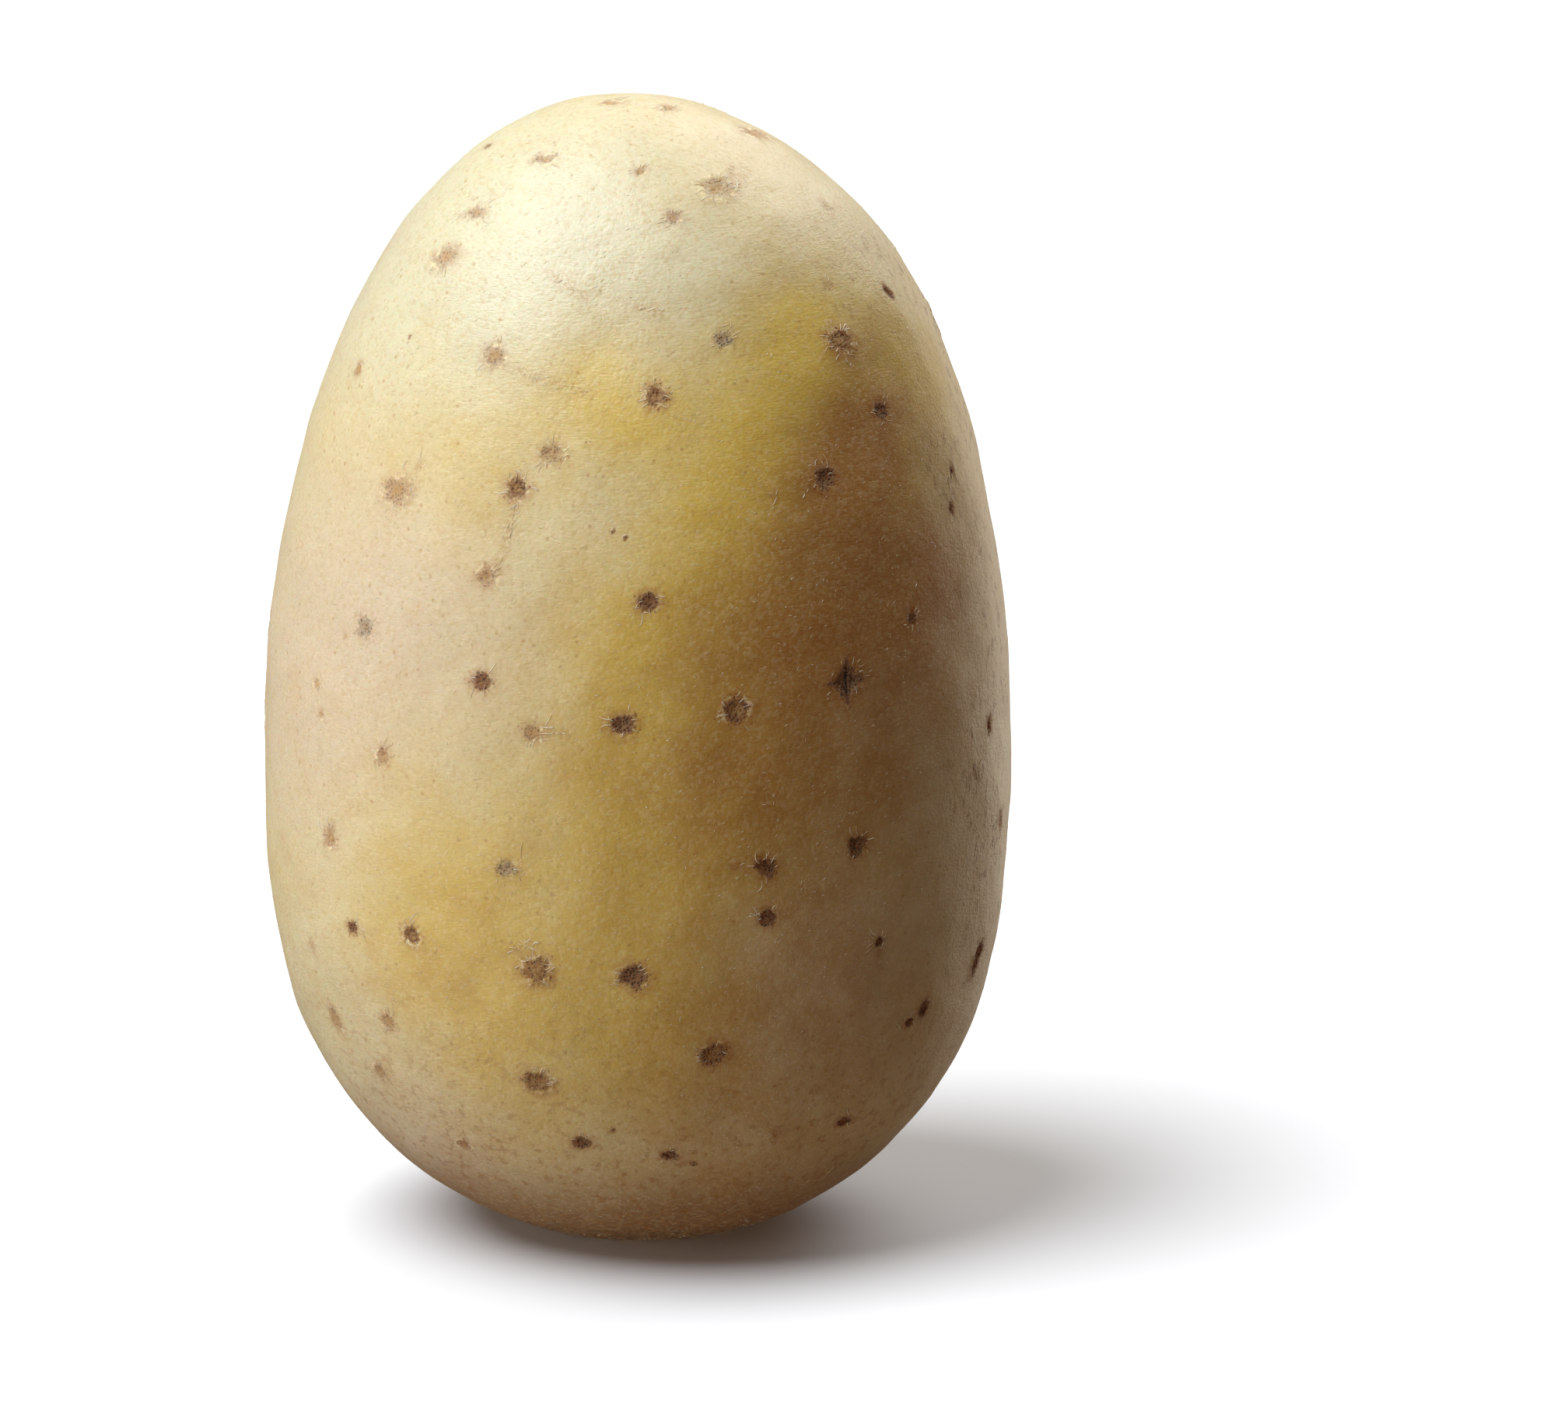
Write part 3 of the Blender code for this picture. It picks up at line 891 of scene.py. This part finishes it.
def skin_finish():
    """Potato periderm: a thin corky skin, washed and dried, grown and not made.

    It gives a satin, slightly waxy sheen over cream-yellow flesh that light enters a few
    millimetres deep, with fine pale cells, ochre freckles, russet smudges near the broad end,
    brown netting down the old side, and crumbly cork in the spots. The cells of a real skin are
    under 0.1 mm, and are drawn 0.3 mm wide so that they show. Some colour is painted light: pale
    patches on the front's lit upper left are a painted sheen, the russet on the front is mostly
    painted shade, the yellow along the shade's edge is partly painted warm shade, and the skin
    turns dark brown towards the foot as painted contact shade.
    """
    material, tree, shader, place = new_material("washed potato skin")
    tints = add(tree, "Attribute", {}, attribute_name="tints")
    patches = (*add(tree, "SeparateColor", {0: tints["Color"]}), tints["Alpha"])
    scuff = add(tree, "Attribute", {}, attribute_name="scuff")["Fac"]
    netting = add(tree, "Attribute", {}, attribute_name="netting")["Fac"]
    height = add(tree, "SeparateXYZ", {0: place})["Z"]

    # Each patch of colour is shifted by grain, so that its edge wanders
    wander = add(tree, "TexNoise", {0: place, "Scale": 1 / 5.0, "Detail": 4.0, "Roughness": 0.62})[0]
    blush, yellow, russet_and_painted_shade, painted_sheen = (
        add(tree, "Math", {0: wander, 1: 0.7, 2: patch}, operation="MULTIPLY_ADD")[0] for patch in patches)

    drift = add(tree, "TexNoise", {0: place, "Scale": 1 / 28.0, "Detail": 1.0})[0]
    mottle = add(tree, "TexNoise", {0: place, "Scale": 1 / 6.0, "Detail": 3.0})[0]
    dimples = add(tree, "TexNoise", {0: place, "Scale": 1 / 1.4, "Detail": 3.0})[0]
    fine = add(tree, "TexNoise", {0: place, "Scale": 1 / 0.26, "Detail": 3.0, "Roughness": 0.7})[0]
    cells = add(tree, "TexVoronoi", {0: place, "Scale": 1 / 0.30})
    pale_cell, deep_cell, _ = add(tree, "SeparateColor", {0: cells["Color"]})
    freckles = add(tree, "TexVoronoi", {0: place, "Scale": 1 / 1.1})
    some = add(tree, "SeparateColor", {0: freckles["Color"]})[0]
    some = add(tree, "MapRange", {0: some, 1: 0.5, 2: 0.75, 4: 0.45}, **STEP)[0]
    smudges = add(tree, "TexNoise", {0: place, "Scale": 1 / 0.9, "Detail": 4.0, "Roughness": 0.65})[0]
    low_down = add(tree, "MapRange", {0: height, 1: 36.0, 2: 4.0, 4: 0.55}, **STEP)[0]

    # Strokes lie up to the right, and the netting's cracks run up the skin
    slant, lean = (0.0, math.radians(-28), 0.0), (0.0, math.radians(12), 0.0)
    slanted = add(tree, "Mapping", {0: place, "Rotation": slant, "Scale": (1.0, 1.0, 5.0)})[0]
    strokes = add(tree, "TexNoise", {0: slanted, "Scale": 1 / 0.7, "Detail": 2.0, "Roughness": 0.6})[0]
    upright = add(tree, "Mapping", {0: place, "Rotation": lean, "Scale": (2.2, 2.2, 1.0)})[0]
    cracks = add(tree, "TexNoise", {0: upright, "Scale": 1 / 1.7, "Detail": 4.0, "Roughness": 0.7})[0]
    netted = add(tree, "Math", {0: netting, 1: 0.85}, **PRODUCT)[0]
    spots, core, crumb = spot_cork(tree, place)
    colour = layered(tree, "#D0C298", (
        (drift, 0.35, 0.70, 0.40, "#CDB67E"),
        (mottle, 0.45, 0.72, 0.35, "#DED2AE"),
        # Painted sheen: pale patches where the key light falls on the front's upper left
        (painted_sheen, 0.35, 1.30, 0.95, "#CFCAA8"),
        (blush, 0.35, 1.30, 0.80, "#CDB8A0"),
        # Yellow: partly the skin's own colour and partly painted warm shade along the edge of the shade
        (yellow, 0.35, 1.30, 0.95, "#D4B64E"),
        # Russet: painted shade on the front's right half and near the foot, and the skin's own colour
        # elsewhere
        (russet_and_painted_shade, 0.35, 1.30, 0.95, "#A8763A"),
        (netting, 0.0, 1.0, 0.55, "#D0BC8C"),
        # Painted shade: the skin turns brown, then dark brown, towards the foot where the contact shade
        # falls
        (height, 13.0, 3.0, 0.85, "#7E5634"),
        (height, 4.0, 0.5, 0.85, "#4A3420"),
        (pale_cell, 0.50, 1.0, 0.16, "#EADBB6"),
        (deep_cell, 0.55, 1.0, 0.28, "#BC9C5C"),
        (freckles["Distance"], 0.22, 0.08, some, "#A9793A"),
        (strokes, 0.60, 0.74, 0.20, "#EFE2BF"),
        (smudges, 0.52, 0.66, low_down, "#9A642C"),
        (cracks, 0.54, 0.64, netted, "#946C3A"),
        (fine, 0.42, 0.60, scuff, "#A9803F"),
        *spots,
    ))
    tree.links.new(colour, shader.inputs["Base Color"])

    # Satin skin, dull cork
    dull = add(tree, "MapRange", {0: core, 3: 0.44, 4: 0.85})[0]
    tree.links.new(dull, shader.inputs["Roughness"])
    shader.inputs["IOR"].default_value = 1.58
    shader.inputs["Subsurface Weight"].default_value = 0.5
    shader.inputs["Subsurface Radius"].default_value = (1.0, 0.38, 0.12)
    shader.inputs["Subsurface Scale"].default_value = 0.008

    # Relief too fine for the grid, in mm: cell grain, dimples, strokes, cracks and the cork's crumbs
    corky = add(tree, "Math", {0: crumb, 1: core}, **PRODUCT)[0]
    heights = (
        (cells["Distance"], -0.020),
        (fine, 0.020),
        (dimples, 0.065),
        (strokes, 0.035),
        (cracks, 0.020),
        (corky, 0.100),
    )
    total = 0.0
    for field, amount in heights:
        total = add(tree, "Math", {0: field, 1: amount, 2: total}, operation="MULTIPLY_ADD")[0]
    bump = add(tree, "Bump", {"Height": total, "Strength": 1.0, "Distance": MM})[0]
    tree.links.new(bump, shader.inputs["Normal"])
    return material


def torn_skin_finish():
    """Torn periderm: slivers of the same corky skin, dried out and lifted, so paler and duller."""
    material, tree, shader, place = new_material("torn dry potato skin")
    mottle = add(tree, "TexNoise", {0: place, "Scale": 1 / 1.5, "Detail": 2.0})[0]
    colour = layered(tree, "#D2B988", ((mottle, 0.35, 0.65, 1.0, "#EFE3C2"),))
    tree.links.new(colour, shader.inputs["Base Color"])
    shader.inputs["Roughness"].default_value = 0.65
    shader.inputs["IOR"].default_value = 1.5
    shader.inputs["Subsurface Weight"].default_value = 0.3
    shader.inputs["Subsurface Radius"].default_value = (1.0, 0.42, 0.14)
    shader.inputs["Subsurface Scale"].default_value = 0.002
    return material


# --- The potato ---


directions, skin_points, squares, flat_map, spots, nearness, spot_look, slit = skin_surface()
skin_mesh = new_mesh("potato_skin", skin_points, squares.ravel(), np.full(len(squares), 4))
layer = skin_mesh.uv_layers.new(name="OFBake")
layer.data.foreach_set("uv", flat_map.astype(np.float32).ravel())
for name, kind, values in (
    ("spot_reach", "FLOAT", nearness),
    ("slit", "FLOAT", slit),
    ("scuff", "FLOAT", scuff_field(skin_points)),
    ("netting", "FLOAT", netting_field(skin_points)),
    ("spot_look", "FLOAT_COLOR", spot_look),
    ("tints", "FLOAT_COLOR", patch_tints(skin_points)),
):
    field = skin_mesh.attributes.new(name, kind, "POINT")
    field.data.foreach_set("value" if kind == "FLOAT" else "color", values.astype(np.float32).ravel())
placed("potato_skin", skin_mesh, skin_finish())

skin_normals = corner_normals(skin_points, squares)
draw = np.random.default_rng(SLIVER_SEED)
groups = (
    fleck_slivers(skin_points, skin_normals, squares, nearness, draw),
    whisker_slivers(directions, skin_points, skin_normals, spots, draw),
)
sliver_points = np.concatenate([group[0] for group in groups])
sliver_points = np.clip(sliver_points, np.array(cad_low), np.array(cad_high))
sliver_corners = np.concatenate((groups[0][1], groups[1][1] + len(groups[0][0])))
sliver_sizes = np.concatenate([group[2] for group in groups])
sliver_mesh = new_mesh("skin_flakes", sliver_points, sliver_corners, sliver_sizes)
placed("skin_flakes", sliver_mesh, torn_skin_finish())


# --- The studio ---


def studio_floor():
    """A plain, matt, pale floor, that takes the potato's shadow and throws no light back at it."""
    half = FLOOR_HALF
    corners = np.array(((-half, -half, 0.0), (half, -half, 0.0), (half, half, 0.0), (-half, half, 0.0)))
    mesh = new_mesh("floor", corners, np.arange(4), np.array((4,)))
    floor = bpy.data.objects.new("floor", mesh)
    bpy.context.scene.collection.objects.link(floor)
    material, _, shader, _ = new_material("matt white card")
    shader.inputs["Base Color"].default_value = linear(FLOOR_TONE)
    shader.inputs["Roughness"].default_value = 1.0
    shader.inputs["Specular IOR Level"].default_value = 0.0
    mesh.materials.append(material)
    floor.visible_diffuse = False
    floor.visible_glossy = False
    floor.visible_shadow = False


def key_light():
    """One large soft source, high on the left and a little in front."""
    light = bpy.data.lights.new("key", "SUN")
    light.energy = KEY_STRENGTH
    light.angle = math.radians(KEY_SPREAD)
    light.color = linear(KEY_TONE)[:3]
    key = bpy.data.objects.new("key", light)
    key.rotation_euler = Vector(KEY_FROM).to_track_quat("Z", "Y").to_euler()
    bpy.context.scene.collection.objects.link(key)


def studio_air():
    """The room's soft light: a dim warm glow from all round, and broad lobes from a few directions.

    A lobe's light is its strength times the cosine of the angle from its middle, to a power. The
    camera itself sees a plain white backdrop.
    """
    world = bpy.data.worlds.new("studio")
    bpy.context.scene.world = world
    world.use_nodes = True
    tree = world.node_tree
    tree.nodes.clear()
    way = add(tree, "TexCoord", {})["Generated"]
    total = AIR_GLOW
    for lobe_from, power, strength, tone in AIR_LOBES:
        middle = tuple(Vector(lobe_from).normalized())
        facing = add(tree, "VectorMath", {0: way, 1: middle}, operation="DOT_PRODUCT")["Value"]
        facing = add(tree, "Math", {0: facing, 1: 0.0}, operation="MAXIMUM")[0]
        lobe = add(tree, "Math", {0: facing, 1: power}, operation="POWER")[0]
        light = tuple(part * strength for part in linear(tone)[:3])
        total = add(tree, "VectorMath", {0: lobe, 1: light, 2: total}, operation="MULTIPLY_ADD")[0]
    lit = add(tree, "Background", {"Color": total})[0]
    seen = add(tree, "Background", {"Color": BACKDROP_TONE})[0]
    eye = add(tree, "LightPath", {})["Is Camera Ray"]
    both = add(tree, "MixShader", {0: eye, 1: lit, 2: seen})[0]
    add(tree, "OutputWorld", {"Surface": both})


def camera_in_front():
    """A long lens in front, looking a little down at the potato, which stands left of the middle."""
    lens = bpy.data.cameras.new("camera")
    lens.lens = LENS
    lens.sensor_width = SENSOR_WIDTH
    camera = bpy.data.objects.new("camera", lens)
    tilt = math.radians(LOOK_DOWN)
    back = Vector((0.0, -math.cos(tilt), math.sin(tilt)))
    camera.location = Vector(CAMERA_AIM) + back * CAMERA_DISTANCE
    camera.rotation_euler = back.to_track_quat("Z", "Y").to_euler()
    bpy.context.scene.collection.objects.link(camera)
    bpy.context.scene.camera = camera


studio_floor()
key_light()
studio_air()
camera_in_front()
bpy.context.scene.view_settings.view_transform = "Standard"
